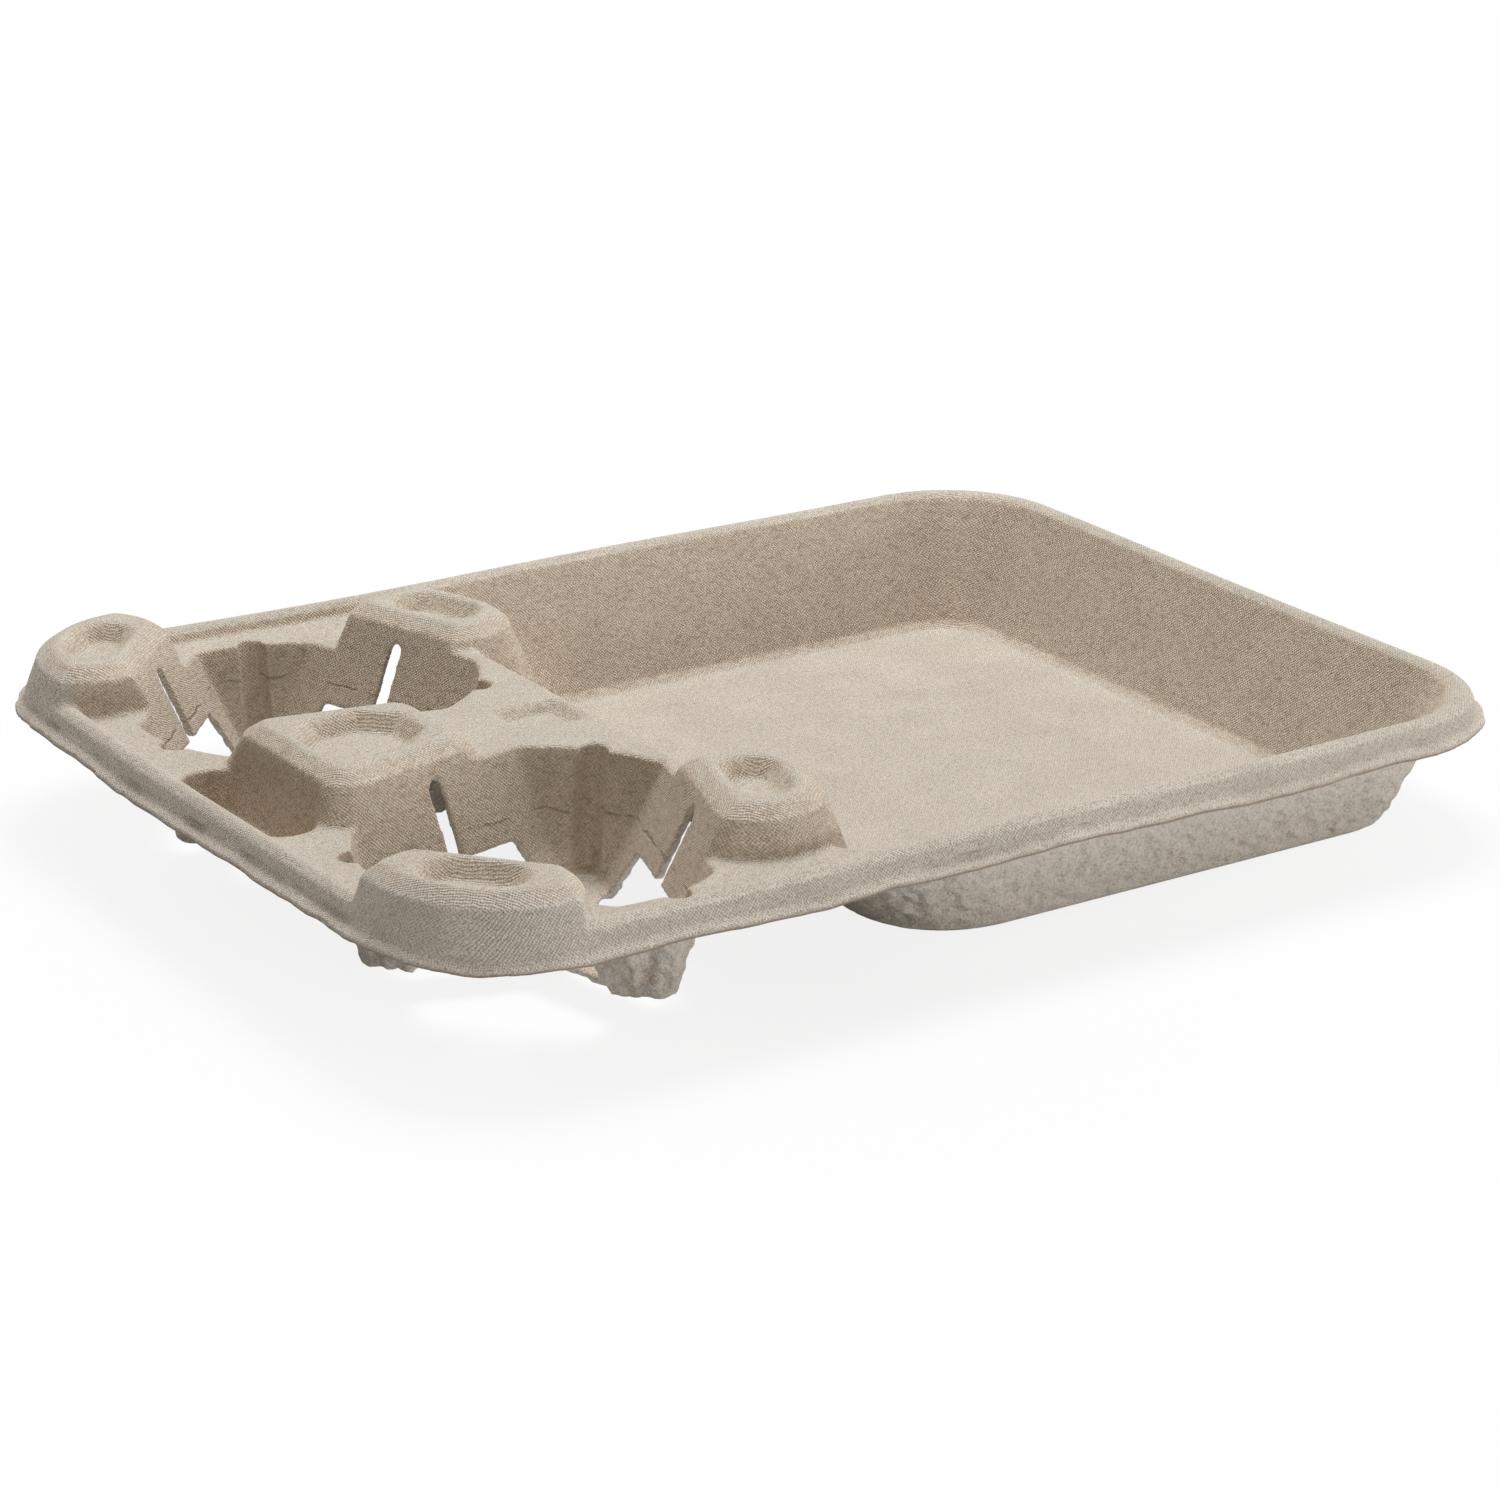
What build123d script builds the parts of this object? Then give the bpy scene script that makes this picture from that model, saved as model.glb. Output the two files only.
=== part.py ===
from build123d import *
from math import atan2, cos, degrees, radians, sin, sqrt, tan
import os

# A carrier tray of moulded fibre for two cups and a meal, made in one piece.
# The origin is under the middle of the tray, on the surface it stands on.
# +X points to the meal end, the cups are at the -X end, and the shell mirrors in Y.
#
# The shell is the space between two stepped solids. Both come from mould_form:
# the upper one has its faces where the fibre's upper face is, and the lower one
# has the same faces moved inward by the wall thickness.

# Rim and lip, and the cup end that the places along X are counted from
length = 360.0
width = 264.0
cup_end = -length / 2
corner_radius = 42.0
wall = 2.2
lip_height = 32.0
lip_width = 2.0
rim_top = 41.0
rim_crest_width = 4.5
skirt_draft = 20.0
crest_chamfer = 1.5

# Meal compartment
floor_side_inset = 28.0
floor_corner_radius = 18.0
divider_foot = 162.0
divider_corner_radius = 32.0
divider_draft = 44.0
floor_chamfer = 1.8

# Bench beside the wells, and the higher saddle between them
bench_height = 37.0
bench_length = 168.0
saddle_height = 44.0
saddle_start = 55.0
saddle_end = 140.0
notch_x = 109.0
notch_length = 16.0
notch_width = 13.0
notch_depth = 3.0

# Cup wells
well_x = 70.0
well_y = 64.0
well_base = 7.5
well_floor_radius = 40.8
well_draft = 15.5
petal_angles = (18.0, 138.0, 258.0)
petal_spacing = 120.0
petal_reach = 40.0
petal_reach_height = 42.0
petal_lean = 25.0
flute_radius = 4.0
flute_offset = 0.5
slot_width = 4.2
slot_top = 42.0
petal_foot = 22.0
window_top_width = 41.0
window_foot_width = 57.0
floor_arm_width = 15.0

# Posts that carry the petals
post_top = 50.0
post_length = 46.0
post_depth = 35.0
post_distance = 54.5
post_draft = 14.0
post_chamfer = 3.5
corner_post_length = 54.0
corner_post_depth = 44.0
corner_post_distance = 60.0
flank_draft = 22.0
centre_post_start = 31.0
centre_post_end = 78.0
centre_post_draft = 16.0
centre_post_radius = 9.0

# Dimples in the post tops
dimple_depth = 5.0
dimple_draft = 40.0
dimple_distance = 57.5
dimple_length = 21.0
dimple_width = 9.0
centre_dimple_x = 53.5
centre_dimple_length = 25.0
centre_dimple_width = 23.0
centre_dimple_corner = 7.0

# Finger pocket between the centre post and the end rim
pocket_start = 14.0
pocket_end = 26.0
pocket_width = 50.0
pocket_floor = 26.0
pocket_draft = 12.0
pocket_radius = 5.0

# Room that cuts have beyond the fibre: above the posts, and behind walls
headroom = 10.0
margin = 1.0

floor_top = wall
well_floor = well_base + wall
lip_top = lip_height + wall
clear_top = post_top + headroom
rim_inner_inset = lip_width + (rim_top - lip_top) * tan(radians(skirt_draft)) + rim_crest_width
side_slope = (floor_side_inset - rim_inner_inset) / (rim_top - floor_top)
side_draft = degrees(atan2(floor_side_inset - rim_inner_inset, rim_top - floor_top))


def skin(grow, draft):
    """Sideways shift of a drafted face that moves inward by grow, measured grow lower."""
    return grow * (1 - sin(radians(draft))) / cos(radians(draft))


def bevel(size, grow):
    """Chamfer of a square edge whose faces both move inward by grow."""
    return size - (2 - sqrt(2)) * grow


def around_well(angle, distance, height):
    """Point at a distance from the axis of the +Y well."""
    x = cup_end + well_x + distance * cos(radians(angle))
    y = well_y + distance * sin(radians(angle))
    return (x, y, height)


def across_petal(angle, distance, height):
    """Horizontal plane whose x axis runs along a petal of the +Y well."""
    x_dir = (-sin(radians(angle)), cos(radians(angle)), 0)
    return Plane(origin=around_well(angle, distance, height), x_dir=x_dir, z_dir=(0, 0, 1))


def petal_plane(angle, grow):
    """Plane of a petal's upper face, which leans in towards the foot of the well."""
    lean = radians(petal_lean)
    facing = (cos(radians(angle)), sin(radians(angle)), -tan(lean))
    middle = around_well(angle, petal_reach + grow / cos(lean), petal_reach_height)
    return Plane(origin=middle, z_dir=facing)


def petal_back(height):
    """Distance from the well's axis at which a cut has passed a petal at a height."""
    lean = radians(petal_lean)
    face = petal_reach + (height - petal_reach_height) * tan(lean)
    return face + wall / cos(lean) + margin


def rim_solid(grow):
    """Everything under the rim: the lip's plate and the skirt up to the crest."""
    with BuildPart() as rim:
        spread = margin if grow else 0.0
        with BuildSketch(Plane.XY.offset(-spread)):
            RectangleRounded(length + 2 * spread, width + 2 * spread, corner_radius + spread)
        extrude(amount=lip_top - grow + spread)
        with BuildSketch(Plane.XY.offset(lip_top - grow)):
            inset = lip_width + skin(grow, skirt_draft)
            RectangleRounded(length - 2 * inset, width - 2 * inset, corner_radius - inset)
        extrude(amount=rim_top - lip_top, taper=skirt_draft)
    return rim.part


def meal_cavity(grow):
    """Space of the meal compartment, with a gentler slope on the divider's side."""
    lean = radians(divider_draft)
    foot = cup_end + divider_foot - skin(grow, divider_draft)
    divider_face = Plane(origin=(foot, 0, floor_top - grow), z_dir=(cos(lean), 0, sin(lean)))
    with BuildPart() as cavity:
        with BuildSketch(Plane.XY.offset(floor_top - grow)):
            shift = skin(grow, side_draft)
            side = floor_side_inset - shift
            RectangleRounded(length - 2 * side, width - 2 * side, floor_corner_radius + shift)
        extrude(amount=clear_top - floor_top, taper=-side_draft)
        split(bisect_by=divider_face, keep=Keep.TOP)
        divider_side = cavity.faces().sort_by(Axis.X)[0]
        fillet(divider_side.edges().filter_by(Plane.XY, reverse=True), divider_corner_radius + grow)
        chamfer(cavity.faces().sort_by(Axis.Z)[0].edges(), bevel(floor_chamfer, -grow))
    return cavity.part


def bench_cavity(grow):
    """Space above the bench inside the rim at the cup end."""
    inset = rim_inner_inset + (rim_top - bench_height) * side_slope - skin(grow, side_draft)
    with BuildPart() as cavity:
        with BuildSketch(Plane.XY.offset(bench_height - grow)):
            RectangleRounded(length - 2 * inset, width - 2 * inset, corner_radius - inset)
            with Locations((cup_end + bench_length / 2, 0)):
                Rectangle(bench_length, width, mode=Mode.INTERSECT)
        extrude(amount=clear_top - bench_height, taper=-side_draft)
    return cavity.part


def saddle_solid(grow):
    """Block that the wells leave as the saddle between them and the crest of the divider."""
    with BuildPart() as saddle:
        with BuildSketch():
            with Locations((cup_end + (saddle_start + saddle_end) / 2, 0)):
                Rectangle(saddle_end - saddle_start, 2 * (well_y - grow))
        extrude(amount=saddle_height - grow)
        add(meal_cavity(grow), mode=Mode.SUBTRACT)
    return saddle.part


def corner_post(grow):
    """Post in the tray's corner: its outer face is the skirt, carried up to the top."""
    with BuildPart() as skirt:
        with BuildSketch(Plane.XY.offset(lip_top - grow)):
            inset = lip_width + skin(grow, skirt_draft)
            RectangleRounded(length - 2 * inset, width - 2 * inset, corner_radius - inset)
        extrude(amount=post_top - lip_top, taper=skirt_draft)
        chamfer(skirt.faces().sort_by(Axis.Z)[-1].edges(), bevel(post_chamfer, grow))
    with BuildPart() as post:
        with BuildSketch(across_petal(petal_angles[1], corner_post_distance, post_top - grow)):
            shrink = 2 * skin(grow, post_draft)
            SlotOverall(corner_post_length - shrink, corner_post_depth - shrink)
        extrude(amount=-post_top, taper=-post_draft)
        split(bisect_by=petal_plane(petal_angles[1], grow), keep=Keep.TOP)
        chamfer(post.faces().sort_by(Axis.Z)[-1].edges(), bevel(post_chamfer, grow))
        add(skirt.part, mode=Mode.INTERSECT)
    return post.part


def divider_post(grow):
    """Post on the divider, with a flank that runs down to the meal floor."""
    with BuildPart() as post:
        with BuildSketch(across_petal(petal_angles[0], post_distance, post_top - grow)):
            shrink = 2 * skin(grow, flank_draft)
            SlotOverall(post_length - shrink, post_depth - shrink)
        extrude(amount=floor_top - post_top, taper=-flank_draft)
        split(bisect_by=petal_plane(petal_angles[0], grow), keep=Keep.TOP)
        chamfer(post.faces().sort_by(Axis.Z)[-1].edges(), bevel(post_chamfer, grow))
    return post.part


def centre_post(grow):
    """Large post between the wells, whose long sides are a petal of each well."""
    with BuildPart() as post:
        with BuildSketch(Plane.XY.offset(post_top - grow)):
            across = centre_post_end - centre_post_start - 2 * skin(grow, centre_post_draft)
            with Locations((cup_end + (centre_post_start + centre_post_end) / 2, 0)):
                Rectangle(across, 2 * well_y)
        extrude(amount=-post_top, taper=-centre_post_draft)
        split(bisect_by=petal_plane(petal_angles[2], grow), keep=Keep.TOP)
        mirror(about=Plane.XZ, mode=Mode.INTERSECT)
        fillet(post.edges().filter_by(Plane.XY, reverse=True), centre_post_radius - grow)
        chamfer(post.faces().sort_by(Axis.Z)[-1].edges(), bevel(post_chamfer, grow))
    return post.part


def dimples(grow):
    """Hollows in the tops of the posts on the +Y side and of the centre post."""
    spread = skin(grow, dimple_draft)
    floor = post_top - dimple_depth - grow
    with BuildPart() as hollows:
        for angle in petal_angles[:2]:
            with BuildSketch(across_petal(angle, dimple_distance, floor)):
                SlotOverall(dimple_length + 2 * spread, dimple_width + 2 * spread)
            extrude(amount=clear_top - floor, taper=-dimple_draft)
        with BuildSketch(Plane.XY.offset(floor)) as centre:
            with Locations((cup_end + centre_dimple_x, 0)):
                Rectangle(centre_dimple_length + 2 * spread, centre_dimple_width + 2 * spread)
            chamfer(centre.vertices(), bevel(centre_dimple_corner, -spread))
        extrude(amount=clear_top - floor, taper=-dimple_draft)
    return hollows.part


def saddle_notch(grow):
    """Shallow notch across the saddle."""
    spread = skin(grow, dimple_draft)
    with BuildPart() as notch:
        with BuildSketch(Plane.XY.offset(saddle_height - notch_depth - grow)):
            with Locations((cup_end + notch_x, 0)):
                Rectangle(notch_length + 2 * spread, notch_width + 2 * spread)
        extrude(amount=clear_top - saddle_height, taper=-dimple_draft)
    return notch.part


def cup_well(grow):
    """Space of the +Y cup well: a cone with three leaning petal faces and three flutes."""
    slope = tan(radians(well_draft))
    base = well_floor - grow
    base_radius = well_floor_radius + skin(grow, well_draft)
    lift = well_floor + flute_radius * sin(radians(well_draft))
    middle = around_well(0, 0, 0)
    with BuildPart() as well:
        with BuildSketch(Plane(origin=middle, x_dir=(1, 0, 0), z_dir=(0, -1, 0))):
            with BuildLine():
                Polyline(
                    (0, base),
                    (base_radius, base),
                    (base_radius + (clear_top - well_floor) * slope, clear_top - grow),
                    (0, clear_top - grow),
                    close=True,
                )
            make_face()
        revolve(axis=Axis(middle, (0, 0, 1)))
        for angle in petal_angles:
            flute_angle = angle + petal_spacing / 2
            foot = around_well(flute_angle, well_floor_radius + flute_offset, lift)
            along = (slope * cos(radians(flute_angle)), slope * sin(radians(flute_angle)), 1)
            with BuildSketch(Plane(origin=foot, z_dir=along).offset(-grow)):
                Circle(flute_radius + grow)
            extrude(amount=clear_top)
        for angle in petal_angles:
            split(bisect_by=petal_plane(angle, grow), keep=Keep.BOTTOM)
    return well.part


def finger_pocket(grow):
    """Pocket between the centre post and the end rim."""
    with BuildPart() as pocket:
        spread = skin(grow, pocket_draft)
        with BuildSketch(Plane.XY.offset(pocket_floor - grow)):
            with Locations((cup_end + (pocket_start + pocket_end) / 2, 0)):
                across = pocket_end - pocket_start + 2 * spread
                RectangleRounded(across, pocket_width + 2 * spread, pocket_radius + spread)
        extrude(amount=clear_top - pocket_floor, taper=-pocket_draft)
    return pocket.part


def mould_form(grow):
    """Solid under the shell's upper face, or under its lower face when grow is the wall."""
    with BuildPart() as form:
        add(rim_solid(grow))
        add(bench_cavity(grow), mode=Mode.SUBTRACT)
        add(meal_cavity(grow), mode=Mode.SUBTRACT)
        if grow < crest_chamfer:
            chamfer(form.edges().filter_by_position(Axis.Z, rim_top, rim_top), crest_chamfer - grow)
        add(saddle_solid(grow))
        add(centre_post(grow))
        for post in (corner_post(grow), divider_post(grow)):
            add(post)
            add(mirror(post, about=Plane.XZ, mode=Mode.PRIVATE))
        for cavity in (cup_well(grow), dimples(grow)):
            add(cavity, mode=Mode.SUBTRACT)
            add(mirror(cavity, about=Plane.XZ, mode=Mode.PRIVATE), mode=Mode.SUBTRACT)
        add(finger_pocket(grow), mode=Mode.SUBTRACT)
        add(saddle_notch(grow), mode=Mode.SUBTRACT)
    return form.part


def petal_cuts():
    """Slot down each petal of the +Y well, and the window under the petal that it opens into."""
    with BuildPart() as windows:
        for angle in petal_angles:
            away = (cos(radians(angle)), sin(radians(angle)), 0)
            sideways = (-away[1], away[0], 0)
            with BuildSketch(Plane(origin=around_well(angle, 0, 0), x_dir=sideways, z_dir=away)):
                with BuildLine():
                    Polyline(
                        (-window_foot_width / 2, 0),
                        (window_foot_width / 2, 0),
                        (window_top_width / 2, petal_foot),
                        (-window_top_width / 2, petal_foot),
                        close=True,
                    )
                make_face()
            extrude(amount=petal_back(petal_foot))
    with BuildPart() as arms:
        for angle in petal_angles:
            with BuildSketch(across_petal(angle + petal_spacing / 2, well_floor_radius / 2, 0)):
                Rectangle(floor_arm_width, well_floor_radius)
            extrude(amount=well_floor)
    with BuildPart() as cuts:
        add(windows.part)
        add(arms.part, mode=Mode.SUBTRACT)
        for angle in petal_angles:
            away = (cos(radians(angle)), sin(radians(angle)), 0)
            sideways = (-away[1], away[0], 0)
            with BuildSketch(Plane(origin=around_well(angle, 0, 0), x_dir=sideways, z_dir=away)):
                with Locations((0, (slot_top + petal_foot - slot_width) / 2)):
                    SlotOverall(slot_top - petal_foot + slot_width, slot_width, rotation=90)
            extrude(amount=petal_back(slot_top))
    return cuts.part


with BuildPart() as carrier_tray:
    add(mould_form(0.0))
    add(mould_form(wall), mode=Mode.SUBTRACT)
    well_cuts = petal_cuts()
    add(well_cuts, mode=Mode.SUBTRACT)
    add(mirror(well_cuts, about=Plane.XZ, mode=Mode.PRIVATE), mode=Mode.SUBTRACT)

carrier_tray.part.label = "carrier_tray"
os.makedirs("parts", exist_ok=True)
export_step(carrier_tray.part, "parts/carrier_tray.step")
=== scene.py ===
from math import cos, radians, sin

import bpy
import numpy as np
from mathutils import Matrix, Vector
from mathutils.bvhtree import BVHTree


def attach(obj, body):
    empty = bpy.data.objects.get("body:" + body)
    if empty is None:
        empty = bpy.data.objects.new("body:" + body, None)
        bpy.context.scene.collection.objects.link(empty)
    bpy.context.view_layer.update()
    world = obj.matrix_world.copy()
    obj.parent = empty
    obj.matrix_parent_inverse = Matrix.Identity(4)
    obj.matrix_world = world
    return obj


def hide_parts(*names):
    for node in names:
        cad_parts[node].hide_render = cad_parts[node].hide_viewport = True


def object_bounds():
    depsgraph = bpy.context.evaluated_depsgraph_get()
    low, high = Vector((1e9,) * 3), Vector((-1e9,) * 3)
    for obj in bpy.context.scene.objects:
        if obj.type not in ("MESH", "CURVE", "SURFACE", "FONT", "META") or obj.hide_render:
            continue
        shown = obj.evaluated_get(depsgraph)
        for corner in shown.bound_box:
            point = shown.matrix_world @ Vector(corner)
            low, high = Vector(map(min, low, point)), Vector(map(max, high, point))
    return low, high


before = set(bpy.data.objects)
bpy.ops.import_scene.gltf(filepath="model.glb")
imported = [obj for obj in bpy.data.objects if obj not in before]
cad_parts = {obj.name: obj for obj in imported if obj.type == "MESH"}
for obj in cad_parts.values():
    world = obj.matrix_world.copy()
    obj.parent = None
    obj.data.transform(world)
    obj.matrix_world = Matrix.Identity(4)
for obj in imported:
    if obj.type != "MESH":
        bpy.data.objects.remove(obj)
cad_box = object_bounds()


def linear(red, green, blue):
    """Colour for a socket, from its 0 to 255 values on screen."""
    values = []
    for channel in (red, green, blue):
        share = channel / 255.0
        values.append(share / 12.92 if share <= 0.04045 else ((share + 0.055) / 1.055) ** 2.4)
    return (*values, 1.0)


MM = 0.001

# Camera: the photograph's view, as fitted to the tray's outline on a 1500 x 1500 picture
IMAGE_SIZE = 1500.0
FOCAL_PX = 4088.1
CENTRE_PX = (756.9, 752.0)
AZIMUTH = radians(-34.9)
ELEVATION = radians(20.2)
ROLL = radians(1.0)
CAMERA_AT = Vector((-0.6204, -0.8914, 0.4186))
SENSOR_MM = 36.0
VIEW_LIMIT = 20.0

# Light: places, aims, sizes and powers of the lamps, and a dim warm light from all around
KEY_AT = (0.25, 0.35, 1.35)
KEY_AIM = (0.0, 0.0, 0.0)
KEY_SIZE = (0.8, 0.8)
KEY_POWER = 19.5
FRONT_AT = (0.45, -1.2, 0.14)
FRONT_AIM = (0.0, 0.0, 0.05)
FRONT_SIZE = (1.4, 0.2)
FRONT_POWER = 5.8
FILL_STRENGTH = 0.16
FILL_COLOUR = (1.0, 0.84, 0.68, 1.0)
WHITE = (1.0, 1.0, 1.0, 1.0)

# Floor: the distances from its middle between which it turns white, and the shares of white there
FLOOR_SIZE = 12.0
FLOOR_HEIGHT = -0.0006
FLOOR_COLOUR = (0.90, 0.925, 0.96, 1.0)
FLOOR_WHITE = (0.10, 0.36, 0.85, 1.0)

# The tray: its outline, and the heights between which its lip lies
NODE = "carrier_tray"
HALF_LENGTH = round(cad_box[1][0], 6)
HALF_WIDTH = round(cad_box[1][1], 6)
CORNER_RADIUS = 42.0 * MM
LIP_LOW = 30.5 * MM
LIP_HIGH = 36.0 * MM

# Mesh: the solid is remeshed, softened in a few passes and thinned out to a number of triangles
VOXEL = 0.75 * MM
SOFTEN_PASSES = 3
SOFTEN_STEP = 0.5
TRIANGLES = 190000

# Cut edges: no opposite face lies within the limit, and they are softened and roughened less
WALL_LIMIT = 3.4 * MM
RAY_START = 0.05 * MM
EDGE_RINGS = 4
CUT_SOFTEN = 0.8
CUT_ROUGHNESS = 0.25

# Unevenness: heights in millimetres, and the shortest and longest of the waves that make it up
LUMP_HEIGHT = 0.28
LUMP_WAVES = (4.0 * MM, 11.0 * MM)
PIT_HEIGHT = 0.26
PIT_WAVES = (2.8 * MM, 5.0 * MM)
PIT_CAP = 0.6
SWELL_HEIGHT = 0.09
SWELL_WAVES = (18.0 * MM, 45.0 * MM)
LONG_RIPPLE_HEIGHT = 0.35
LONG_RIPPLE_WAVES = (30.0 * MM, 75.0 * MM)
SHORT_RIPPLE_HEIGHT = 0.12
SHORT_RIPPLE_WAVES = (9.0 * MM, 22.0 * MM)
FRAY_DEPTH = 0.20
FRAY_LEVEL = 0.12
FRAY_WAVES = (8.0 * MM, 24.0 * MM)
WARP_HEIGHT = 0.40
WARP_WAVES = (90.0 * MM, 200.0 * MM)

# Shares of the underside's lumps: left high up on the tray, and taken away on the lip
HIGH_ROUGHNESS = 0.45
LIP_SPARED = 0.8

# Bands over which something sets in, each from none of it to all of it.
# Those named for a distance are measured from the outline, negative inside it.
LIP_DISTANCE = (-6.0 * MM, -2.0 * MM)
LIP_FROM_BELOW = (LIP_LOW - 2.0 * MM, LIP_LOW)
LIP_FROM_ABOVE = (LIP_HIGH + 1.0 * MM, LIP_HIGH)
LOW_HEIGHT = (28.0 * MM, 14.0 * MM)
CLEAR_HEIGHT = (0.3 * MM, 7.0 * MM)
RAISED_HEIGHT = (6.0 * MM, 30.0 * MM)
UNDER_TILT = (0.12, -0.12)
STEEP_TILT = (0.97, 0.76)
INNER_DISTANCE = (-8.5 * MM, -10.5 * MM)
# Painted shadow on the tray's wall just below the lip: the heights and distances where it sets in
LIP_SHADOW_HEIGHT = (28.4 * MM, 30.2 * MM)
LIP_SHADOW_DISTANCE = (-16.0 * MM, -12.0 * MM)
EVENING_PASSES = 6

# Finish: colours and gloss
BASE_COLOUR = linear(225, 219, 207)
PALE_COLOUR = linear(229, 223, 212)
# Dull colour of mottling, streaks and grain, also used for painted shade in hollows and the weave
DULL_AND_SHADE_COLOUR = linear(176, 162, 145)
# Dark fibre colour of the specks and the crease, also used for the painted shadow below the lip
FIBRE_AND_SHADOW_COLOUR = linear(140, 117, 92)
# Pale colour of flecks and grain, also used for the partly painted highlight on convex edges
PALE_AND_HIGHLIGHT_COLOUR = linear(235, 229, 219)
UNDER_COLOUR = linear(226, 219, 208)
# Painted warm shade on the steep inner walls
WALL_SHADE_COLOUR = linear(232, 215, 197)
ROUGHNESS = 0.94
SPECULAR = 0.18

# Finish: relief in millimetres, with what the underside and the walls add to it
WEAVE_DEPTH = 0.16
WEAVE_PITCH = 0.50
WEAVE_DRIFT = 3.0
WEAVE_WOBBLE = 0.9
WEAVE_SHARPNESS = 6.0
GRAIN_RELIEF = 0.16
UNDER_GRAIN_RELIEF = 0.14
PULP_RELIEF = 0.08
WALL_PULP_RELIEF = 0.18
UNDER_PULP_RELIEF = 1.2
CREASE_DEPTH = 0.30

# Finish: the crease around each well in millimetres: the well's axis, the crease's height,
# and the bands in which it fades off its line and out of the well
WELL_X = -110.0
WELL_Y = 64.0
CREASE_LOWEST = 25.0
CREASE_WANDER = 5.0
CREASE_BAND = (0.55, 0.1)
WELL_BAND = (50.0, 48.5)

# Finish: noises, as scale per millimetre, detail and roughness
DRIFT_NOISE = (0.035, 1.0, 0.5)
WOBBLE_NOISE = (0.5, 1.0, 0.5)
WORN_NOISE = (0.05, 2.0, 0.5)
GRAIN_NOISE = (1.3, 3.0, 0.65)
PULP_NOISE = (0.42, 5.0, 0.66)
WANDER_NOISE = (0.09, 3.0, 0.6)
BREAK_NOISE = (0.16, 2.0, 0.5)
CLOUD_NOISE = (0.022, 3.0, 0.55)
MOTTLE_NOISE = (0.28, 3.0, 0.6)
STREAK_NOISE = (0.8, 4.0, 0.7)
STREAK_STRETCH = (0.35, 0.35, 1.0)
SPECK_NOISE = (1.1, 2.0, 0.6)

# Finish: the values between which something sets in, and its shares at the first and at the second
WORN_RANGE = (0.3, 0.65, 0.8, 1.0)
BREAK_RANGE = (0.42, 0.56, 0.0, 1.0)
CLOUD_RANGE = (0.32, 0.68, 0.0, 1.0)
MOTTLE_RANGE = (0.46, 0.70, 0.0, 0.10)
DARK_STREAKS = (0.5, 0.3, 0.0, 0.7)
PALE_STREAKS = (0.5, 0.7, 0.0, 0.7)
DARK_GRAIN = (0.02, -0.16, 0.0, 0.7)
PALE_GRAIN = (0.04, 0.20, 0.0, 0.6)
WEAVE_HOLLOW_SHADE = (0.2, -0.7, 0.0, 0.65)
SPECK_RANGE = (0.64, 0.74, 0.0, 0.45)
EDGE_WEAR_AND_HIGHLIGHT = (0.51, 0.57, 0.0, 0.45)
PAINTED_HOLLOW_SHADE = (0.49, 0.43, 0.0, 0.45)
UNDER_SHARE = 0.6
WALL_SHADE_SHARE = 0.85
CREASE_SHARE = 0.55
# Share of the painted shadow below the lip
LIP_SHADOW_SHARE = 0.8


def smoothstep(low, high, value):
    """Share from nought at low to one at high, eased at both ends."""
    share = np.clip((value - low) / (high - low), 0.0, 1.0)
    return share * share * (3.0 - 2.0 * share)


def waves(points, lengths, count, seed):
    """Smooth random field of unit spread, summed from plane waves of the given lengths."""
    shortest, longest = lengths
    rng = np.random.default_rng(seed)
    directions = rng.normal(size=(count, 3))
    directions /= np.linalg.norm(directions, axis=1)[:, None]
    wavelengths = np.exp(rng.uniform(np.log(shortest), np.log(longest), count))
    phases = rng.uniform(0.0, 2.0 * np.pi, count)
    field = np.zeros(len(points))
    for direction, wavelength, phase in zip(directions, wavelengths, phases):
        field += np.sin(points @ (direction * (2.0 * np.pi / wavelength)) + phase)
    return field * np.sqrt(2.0 / count)


def read_points(mesh):
    points = np.empty(len(mesh.vertices) * 3)
    mesh.vertices.foreach_get("co", points)
    return points.reshape(-1, 3)


def read_normals(mesh):
    normals = np.empty(len(mesh.vertices) * 3)
    mesh.vertices.foreach_get("normal", normals)
    return normals.reshape(-1, 3)


def read_edges(mesh):
    edges = np.empty(len(mesh.edges) * 2, dtype=np.int64)
    mesh.edges.foreach_get("vertices", edges)
    return edges.reshape(-1, 2)


def read_triangles(mesh):
    mesh.calc_loop_triangles()
    corners = np.empty(len(mesh.loop_triangles) * 3, dtype=np.int64)
    mesh.loop_triangles.foreach_get("vertices", corners)
    return corners.reshape(-1, 3)


def write_points(mesh, points):
    mesh.vertices.foreach_set("co", points.ravel())
    mesh.update()


def add_values(mesh, name, values):
    attribute = mesh.attributes.new(name, "FLOAT", "POINT")
    attribute.data.foreach_set("value", values.astype(np.float32))


def with_modifier(piece, kind, **settings):
    """Runs one modifier on a piece and keeps its result as the piece's mesh."""
    modifier = piece.modifiers.new(kind, kind)
    for name, value in settings.items():
        setattr(modifier, name, value)
    graph = bpy.context.evaluated_depsgraph_get()
    result = bpy.data.meshes.new_from_object(piece.evaluated_get(graph))
    piece.modifiers.clear()
    spent = piece.data
    piece.data = result
    bpy.data.meshes.remove(spent)


def edge_counts(edges, count):
    """Number of edges that meet at each point."""
    return np.bincount(edges.ravel(), minlength=count).astype(float)


def neighbour_mean(vectors, edges, degree):
    """Mean of the vectors at the points that share an edge with each point."""
    total = np.empty_like(vectors)
    for axis in range(3):
        total[:, axis] = np.bincount(edges[:, 0], vectors[edges[:, 1], axis], len(vectors))
        total[:, axis] += np.bincount(edges[:, 1], vectors[edges[:, 0], axis], len(vectors))
    return total / degree[:, None]


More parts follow.
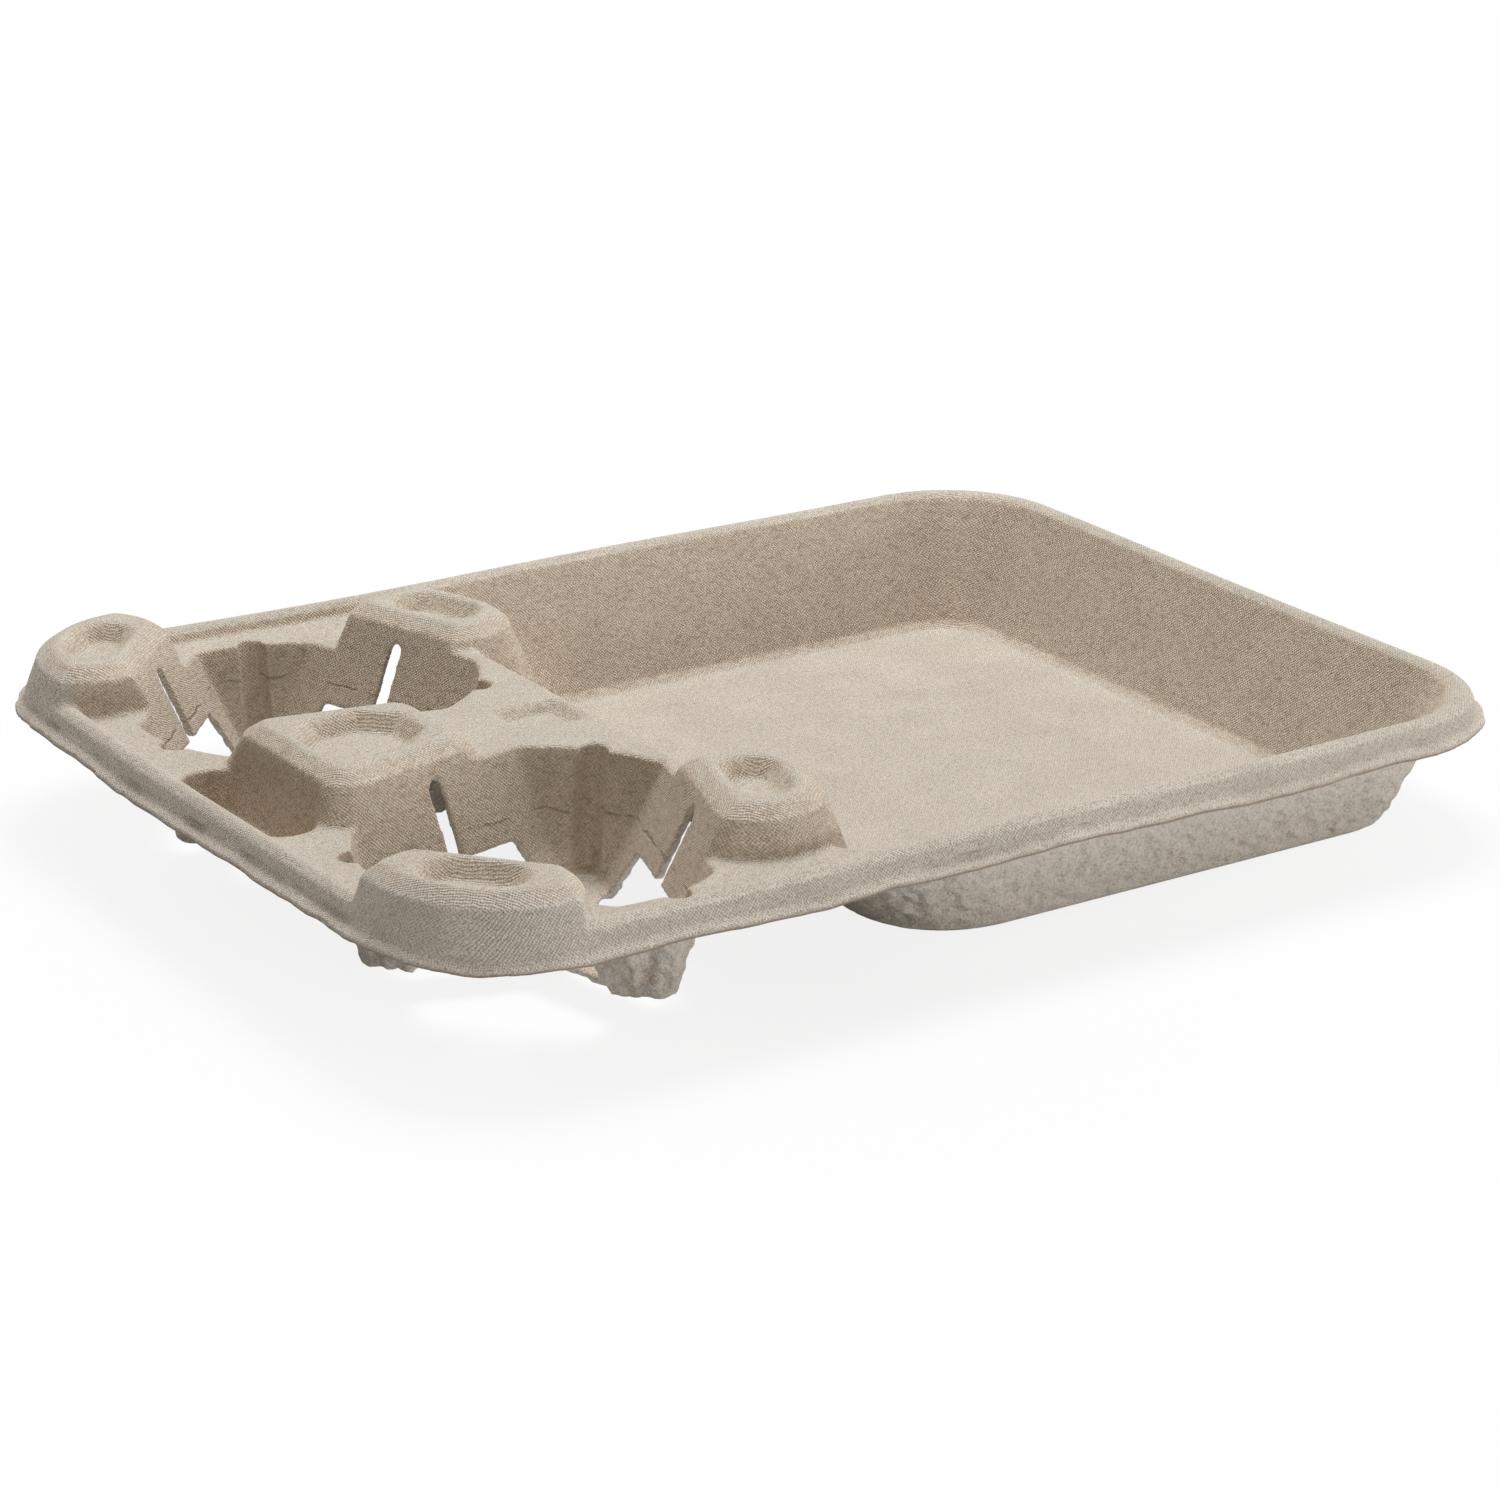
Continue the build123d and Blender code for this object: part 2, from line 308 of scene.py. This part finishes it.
def at_cut_edge(mesh, points, normals):
    """True where the fibre ends: a line inward from there meets no opposite face nearby."""
    tree = BVHTree.FromPolygons(points.tolist(), read_triangles(mesh).tolist())
    found = np.zeros(len(points), dtype=bool)
    starts = points - normals * RAY_START
    for index in range(len(points)):
        hit = tree.ray_cast(starts[index], -normals[index], WALL_LIMIT)
        found[index] = hit[0] is None
    return found


def soften(mesh):
    """Rounds the mould's edges, the cut edges of the fibre a little less.

    Returns how far each point is from a cut edge: nought there, one from EDGE_RINGS on.
    """
    points = read_points(mesh)
    edges = read_edges(mesh)
    degree = edge_counts(edges, len(points))
    ring = np.where(at_cut_edge(mesh, points, read_normals(mesh)), 0.0, float(EDGE_RINGS))
    for distance in range(1, EDGE_RINGS):
        near = np.zeros(len(points), dtype=bool)
        reached = ring <= distance - 1
        near[edges[reached[edges[:, 0]], 1]] = True
        near[edges[reached[edges[:, 1]], 0]] = True
        ring = np.where(near & (ring > distance), float(distance), ring)
    from_cut = ring / EDGE_RINGS
    share = (CUT_SOFTEN + (1.0 - CUT_SOFTEN) * from_cut)[:, None]
    for _ in range(SOFTEN_PASSES):
        points += SOFTEN_STEP * share * (neighbour_mean(points, edges, degree) - points)
    write_points(mesh, points)
    return from_cut


def outline_distance(points):
    """Distance from the rim's outline, negative inside it."""
    beyond_x = np.abs(points[:, 0]) - (HALF_LENGTH - CORNER_RADIUS)
    beyond_y = np.abs(points[:, 1]) - (HALF_WIDTH - CORNER_RADIUS)
    outside = np.hypot(np.maximum(beyond_x, 0.0), np.maximum(beyond_y, 0.0))
    return outside + np.minimum(np.maximum(beyond_x, beyond_y), 0.0) - CORNER_RADIUS


def lip_share(points):
    """One on the lip along the rim's outline, fading out inward, below and above."""
    share = smoothstep(*LIP_DISTANCE, outline_distance(points))
    share *= smoothstep(*LIP_FROM_BELOW, points[:, 2])
    share *= smoothstep(*LIP_FROM_ABOVE, points[:, 2])
    return share


def roughen(mesh, from_cut):
    """Unevenness of moulded fibre: a lumpy underside, a wavy and frayed lip, and a slight warp."""
    points = read_points(mesh)
    normals = read_normals(mesh)
    lip = lip_share(points)

    # The underside is rougher lower down, but flat where the tray stands
    under = smoothstep(*UNDER_TILT, normals[:, 2]) * (1.0 - LIP_SPARED * lip)
    low = smoothstep(*LOW_HEIGHT, points[:, 2])
    clear = smoothstep(*CLEAR_HEIGHT, points[:, 2])
    lumps = waves(points, LUMP_WAVES, count=60, seed=3)
    pits = np.minimum(waves(points, PIT_WAVES, count=60, seed=4), PIT_CAP)
    swell = waves(points, SWELL_WAVES, count=30, seed=5)
    coarse = under * (HIGH_ROUGHNESS + (1.0 - HIGH_ROUGHNESS) * low)
    coarse = coarse * (LUMP_HEIGHT * lumps + PIT_HEIGHT * pits)
    coarse = coarse * (CUT_ROUGHNESS + (1.0 - CUT_ROUGHNESS) * from_cut)
    rise = MM * np.where(normals[:, 2] < 0.0, clear, 1.0) * (coarse + SWELL_HEIGHT * under * swell)
    points += normals * rise[:, None]

    # The lip waves up and down, and is frayed inward
    level = points * np.array([1.0, 1.0, 0.0])
    ripple = LONG_RIPPLE_HEIGHT * waves(level, LONG_RIPPLE_WAVES, count=24, seed=6)
    ripple = ripple + SHORT_RIPPLE_HEIGHT * waves(level, SHORT_RIPPLE_WAVES, count=30, seed=7)
    points[:, 2] += lip * ripple * MM
    frayed = np.maximum(FRAY_DEPTH * waves(level, FRAY_WAVES, count=40, seed=8) + FRAY_LEVEL, 0.0)
    inward = -points[:, :2] / np.linalg.norm(points[:, :2], axis=1)[:, None]
    points[:, :2] += (lip * frayed * MM)[:, None] * inward

    # The warp grows with the height above the floor
    raised = smoothstep(*RAISED_HEIGHT, points[:, 2])
    points[:, 2] += raised * WARP_HEIGHT * waves(level, WARP_WAVES, count=16, seed=9) * MM
    write_points(mesh, points)


def add_zones(mesh):
    """Marks where the finish differs: the underside, the inner walls, which also get a painted warm
    shade, and the painted shadow in the fold behind the lip.
    """
    points = read_points(mesh)
    normals = read_normals(mesh)
    edges = read_edges(mesh)
    degree = edge_counts(edges, len(points))
    evened = normals
    for _ in range(EVENING_PASSES):
        evened = neighbour_mean(evened, edges, degree)
    distance = outline_distance(points)
    under = smoothstep(*UNDER_TILT, normals[:, 2])
    steep = smoothstep(*STEEP_TILT, evened[:, 2] / np.linalg.norm(evened, axis=1))
    inner = smoothstep(*INNER_DISTANCE, distance)
    behind_lip = smoothstep(*LIP_SHADOW_HEIGHT, points[:, 2]) * smoothstep(*LIP_SHADOW_DISTANCE, distance)
    add_values(mesh, "under", under)
    # The wall mask also carries the painted warm shade of the inner walls
    add_values(mesh, "wall", steep * inner * (1.0 - under))
    # Painted shadow on the underside just below the lip
    add_values(mesh, "painted_lip_shadow", under * behind_lip)


def weight_normals(mesh):
    """Takes each point's normal from the faces around it by area, so flat faces shade flat."""
    corners = read_triangles(mesh)
    points = read_points(mesh)
    first, second, third = (points[corners[:, index]] for index in range(3))
    facing = np.cross(second - first, third - first)
    normals = np.zeros_like(points)
    for index in range(3):
        np.add.at(normals, corners[:, index], facing)
    normals /= np.linalg.norm(normals, axis=1)[:, None]
    mesh.normals_split_custom_set_from_vertices(normals.tolist())


class NodeTree:
    """Short way to write the nodes of a material or a world: a call adds nodes and returns an output."""

    def __init__(self, owner):
        owner.use_nodes = True
        self.tree = owner.node_tree
        self.tree.nodes.clear()

    def node(self, kind, inputs=None, output=0, **settings):
        made = self.tree.nodes.new(kind)
        for name, value in settings.items():
            setattr(made, name, value)
        for key, value in (inputs or {}).items():
            if isinstance(value, bpy.types.NodeSocket):
                self.tree.links.new(value, made.inputs[key])
            else:
                made.inputs[key].default_value = value
        return made.outputs[output] if made.outputs else None

    def math(self, operation, first, second=0.0, third=0.0):
        return self.node("ShaderNodeMath", {0: first, 1: second, 2: third}, operation=operation)

    def product(self, first, second):
        return self.math("MULTIPLY", first, second)

    def vector(self, operation, first, second=(0.0, 0.0, 0.0), output=0):
        return self.node("ShaderNodeVectorMath", {0: first, 1: second}, output, operation=operation)

    def split(self, vector):
        """The three parts of a vector, as a list of outputs."""
        return self.node("ShaderNodeSeparateXYZ", {0: vector}).node.outputs

    def zone(self, name):
        """Value that add_zones left on the mesh under this name."""
        return self.node("ShaderNodeAttribute", output="Fac", attribute_name=name)

    def noise(self, coordinates, kind, output=0):
        scale, detail, roughness = kind
        inputs = {"Vector": coordinates, "Scale": scale, "Detail": detail, "Roughness": roughness}
        return self.node("ShaderNodeTexNoise", inputs, output)

    def shift(self, coordinates, kind, size):
        """Random shift, by up to half of size each way."""
        centred = self.vector("SUBTRACT", self.noise(coordinates, kind, output=1), (0.5, 0.5, 0.5))
        return self.vector("MULTIPLY", centred, (size, size, size))

    def remap(self, value, low, high, to_low=0.0, to_high=1.0):
        inputs = {"Value": value, "From Min": low, "From Max": high, "To Min": to_low, "To Max": to_high}
        return self.node("ShaderNodeMapRange", inputs, interpolation_type="SMOOTHSTEP")

    def tint(self, factor, first, second):
        """Mix of two colours, whose sockets come after those for numbers and vectors."""
        return self.node("ShaderNodeMix", {0: factor, 6: first, 7: second}, output=2, data_type="RGBA")

    def seen_directly(self):
        """One for rays from the camera, and for those that mirrors and glass send on."""
        ray = self.node("ShaderNodeLightPath").node.outputs
        mirrored = self.math("MAXIMUM", ray["Is Camera Ray"], ray["Is Glossy Ray"])
        return self.math("MAXIMUM", mirrored, ray["Is Transmission Ray"])


def weave_pattern(nt, place, upper):
    """Weave that the mould's wire mesh leaves on the upper side, projected along the nearest axis."""
    drifted = nt.vector("ADD", place, nt.shift(place, DRIFT_NOISE, WEAVE_DRIFT))
    drifted = nt.vector("ADD", drifted, nt.shift(place, WOBBLE_NOISE, WEAVE_WOBBLE))
    phase = nt.split(nt.vector("MULTIPLY", drifted, (np.pi / WEAVE_PITCH,) * 3))
    ripple = [nt.math("SINE", phase[axis]) for axis in range(3)]
    facing = nt.split(nt.vector("ABSOLUTE", nt.node("ShaderNodeNewGeometry", output="Normal")))
    weight = [nt.math("POWER", facing[axis], WEAVE_SHARPNESS) for axis in range(3)]
    cloth = []
    for axis in range(3):
        crossing = nt.product(ripple[(axis + 1) % 3], ripple[(axis + 2) % 3])
        cloth.append(nt.product(crossing, weight[axis]))
    total_cloth = nt.math("ADD", nt.math("ADD", cloth[0], cloth[1]), cloth[2])
    total_weight = nt.math("ADD", nt.math("ADD", weight[0], weight[1]), weight[2])
    worn = nt.remap(nt.noise(place, WORN_NOISE), *WORN_RANGE)
    return nt.product(nt.math("DIVIDE", total_cloth, total_weight), nt.product(worn, upper))


def crease_line(nt, place, upper):
    """Thin broken line around each well, where the mould's mesh is pieced together."""
    part = nt.split(place)
    from_x = nt.math("SUBTRACT", part[0], WELL_X)
    from_y = nt.math("SUBTRACT", nt.math("ABSOLUTE", part[1]), WELL_Y)
    squares = nt.math("ADD", nt.math("POWER", from_x, 2.0), nt.math("POWER", from_y, 2.0))
    in_well = nt.remap(nt.math("SQRT", squares), *WELL_BAND)
    level = nt.math("MULTIPLY_ADD", nt.noise(place, WANDER_NOISE), CREASE_WANDER, CREASE_LOWEST)
    from_level = nt.math("ABSOLUTE", nt.math("SUBTRACT", part[2], level))
    line = nt.remap(from_level, *CREASE_BAND)
    broken = nt.product(line, nt.remap(nt.noise(place, BREAK_NOISE), *BREAK_RANGE))
    return nt.product(nt.product(broken, in_well), upper)


def fibre_material():
    """Moulded fibre: woven above and pulpy below, with grain and specks all over, painted shade in
    hollows, on the inner walls and below the lip, and paler convex edges that are partly a painted
    highlight.
    """
    material = bpy.data.materials.new("moulded_fibre")
    nt = NodeTree(material)
    place = nt.vector("MULTIPLY", nt.node("ShaderNodeTexCoord", output="Object"), (1.0 / MM,) * 3)
    under = nt.zone("under")
    upper = nt.math("SUBTRACT", 1.0, under)
    wall = nt.zone("wall")
    painted_lip_shadow = nt.zone("painted_lip_shadow")
    weave = weave_pattern(nt, place, upper)
    crease = crease_line(nt, place, upper)
    grain = nt.math("SUBTRACT", nt.noise(place, GRAIN_NOISE), 0.5)
    pulp = nt.math("SUBTRACT", nt.noise(place, PULP_NOISE), 0.5)
    streaks = nt.noise(nt.vector("MULTIPLY", place, STREAK_STRETCH), STREAK_NOISE)
    bend = nt.node("ShaderNodeNewGeometry", output="Pointiness")

    height = nt.product(weave, WEAVE_DEPTH)
    grain_relief = nt.math("MULTIPLY_ADD", under, UNDER_GRAIN_RELIEF, GRAIN_RELIEF)
    height = nt.math("MULTIPLY_ADD", grain, grain_relief, height)
    pulp_relief = nt.math("MULTIPLY_ADD", under, UNDER_PULP_RELIEF, PULP_RELIEF)
    pulp_relief = nt.math("MULTIPLY_ADD", wall, WALL_PULP_RELIEF, pulp_relief)
    height = nt.math("MULTIPLY_ADD", pulp, pulp_relief, height)
    height = nt.math("MULTIPLY_ADD", crease, -CREASE_DEPTH, height)
    normal = nt.node("ShaderNodeBump", {"Strength": 1.0, "Distance": MM, "Height": height})

    # Tints, each over the ones before it
    tints = (
        (nt.product(under, UNDER_SHARE), UNDER_COLOUR),
        # painted warm shade on the steep inner walls
        (nt.product(wall, WALL_SHADE_SHARE), WALL_SHADE_COLOUR),
        (nt.remap(nt.noise(place, MOTTLE_NOISE), *MOTTLE_RANGE), DULL_AND_SHADE_COLOUR),
        (nt.product(nt.remap(streaks, *DARK_STREAKS), wall), DULL_AND_SHADE_COLOUR),
        (nt.product(nt.remap(streaks, *PALE_STREAKS), wall), PALE_AND_HIGHLIGHT_COLOUR),
        (nt.remap(grain, *DARK_GRAIN), DULL_AND_SHADE_COLOUR),
        (nt.remap(grain, *PALE_GRAIN), PALE_AND_HIGHLIGHT_COLOUR),
        # painted shade in the weave's hollows
        (nt.remap(weave, *WEAVE_HOLLOW_SHADE), DULL_AND_SHADE_COLOUR),
        (nt.remap(nt.noise(place, SPECK_NOISE), *SPECK_RANGE), FIBRE_AND_SHADOW_COLOUR),
        (nt.product(crease, CREASE_SHARE), FIBRE_AND_SHADOW_COLOUR),
        # paler convex edges, partly pale wear and partly painted highlight
        (nt.remap(bend, *EDGE_WEAR_AND_HIGHLIGHT), PALE_AND_HIGHLIGHT_COLOUR),
        # painted shade in concave folds and hollows
        (nt.remap(bend, *PAINTED_HOLLOW_SHADE), DULL_AND_SHADE_COLOUR),
        # painted shadow below the lip
        (nt.product(painted_lip_shadow, LIP_SHADOW_SHARE), FIBRE_AND_SHADOW_COLOUR),
    )
    colour = nt.tint(nt.remap(nt.noise(place, CLOUD_NOISE), *CLOUD_RANGE), BASE_COLOUR, PALE_COLOUR)
    for share, tint_colour in tints:
        colour = nt.tint(share, colour, tint_colour)

    finish = {
        "Base Color": colour,
        "Roughness": ROUGHNESS,
        "Specular IOR Level": SPECULAR,
        "Normal": normal,
    }
    shader = nt.node("ShaderNodeBsdfPrincipled", finish)
    nt.node("ShaderNodeOutputMaterial", {"Surface": shader})
    return material


def add_fibre_piece():
    """The tray's visible piece, made from the solid that it stands for."""
    piece = bpy.data.objects.new("fibre_tray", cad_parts[NODE].data.copy())
    bpy.context.scene.collection.objects.link(piece)
    with_modifier(piece, "REMESH", mode="VOXEL", voxel_size=VOXEL, adaptivity=0.0)
    from_cut = soften(piece.data)
    roughen(piece.data, from_cut)
    with_modifier(piece, "DECIMATE", ratio=TRIANGLES / len(read_triangles(piece.data)))
    mesh = piece.data
    add_zones(mesh)
    mesh.shade_smooth()
    weight_normals(mesh)
    mesh.materials.clear()
    mesh.materials.append(fibre_material())
    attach(piece, "root")
    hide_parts(NODE)


def add_camera():
    back = Vector((sin(AZIMUTH) * cos(ELEVATION), -cos(AZIMUTH) * cos(ELEVATION), sin(ELEVATION)))
    level_right = Vector((cos(AZIMUTH), sin(AZIMUTH), 0.0))
    level_up = back.cross(level_right)
    right = cos(ROLL) * level_right + sin(ROLL) * level_up
    up = cos(ROLL) * level_up - sin(ROLL) * level_right
    data = bpy.data.cameras.new("photo_view")
    data.sensor_width = SENSOR_MM
    data.lens = FOCAL_PX * SENSOR_MM / IMAGE_SIZE
    data.shift_x = -(CENTRE_PX[0] - IMAGE_SIZE / 2) / IMAGE_SIZE
    data.shift_y = (CENTRE_PX[1] - IMAGE_SIZE / 2) / IMAGE_SIZE
    data.clip_end = VIEW_LIMIT
    camera = bpy.data.objects.new("photo_view", data)
    rotation = Matrix((right, up, back)).transposed()
    camera.matrix_world = Matrix.Translation(CAMERA_AT) @ rotation.to_4x4()
    bpy.context.scene.collection.objects.link(camera)
    bpy.context.scene.camera = camera


def add_lamp(name, place, aim, size, power):
    data = bpy.data.lights.new(name, "AREA")
    data.shape = "RECTANGLE"
    data.size, data.size_y = size
    data.energy = power
    lamp = bpy.data.objects.new(name, data)
    lamp.location = place
    lamp.rotation_euler = (Vector(aim) - Vector(place)).to_track_quat("-Z", "Y").to_euler()
    bpy.context.scene.collection.objects.link(lamp)


def add_world():
    """Dim warm light from all around, from a background that shows white."""
    world = bpy.data.worlds.new("studio")
    nt = NodeTree(world)
    seen = nt.seen_directly()
    strength = nt.remap(seen, 0.0, 1.0, FILL_STRENGTH, 1.0)
    colour = nt.tint(seen, FILL_COLOUR, WHITE)
    background = nt.node("ShaderNodeBackground", {"Color": colour, "Strength": strength})
    nt.node("ShaderNodeOutputWorld", {"Surface": background})
    bpy.context.scene.world = world


def add_floor():
    """Pale floor that keeps some of the tray's shadow and turns white away from it."""
    bpy.ops.mesh.primitive_plane_add(size=FLOOR_SIZE, location=(0.0, 0.0, FLOOR_HEIGHT))
    floor = bpy.context.object
    floor.name = "floor"
    material = bpy.data.materials.new("white_floor")
    nt = NodeTree(material)
    distance = nt.vector("LENGTH", nt.node("ShaderNodeTexCoord", output="Object"), output="Value")
    share = nt.product(nt.remap(distance, *FLOOR_WHITE), nt.seen_directly())
    diffuse = nt.node("ShaderNodeBsdfDiffuse", {"Color": FLOOR_COLOUR})
    white = nt.node("ShaderNodeEmission", {"Color": WHITE, "Strength": 1.0})
    mixed = nt.node("ShaderNodeMixShader", {0: share, 1: diffuse, 2: white})
    nt.node("ShaderNodeOutputMaterial", {"Surface": mixed})
    floor.data.materials.append(material)


bpy.context.scene.view_settings.view_transform = "Standard"
add_camera()
add_lamp("key", KEY_AT, KEY_AIM, KEY_SIZE, KEY_POWER)
add_lamp("front", FRONT_AT, FRONT_AIM, FRONT_SIZE, FRONT_POWER)
add_world()
add_floor()
add_fibre_piece()
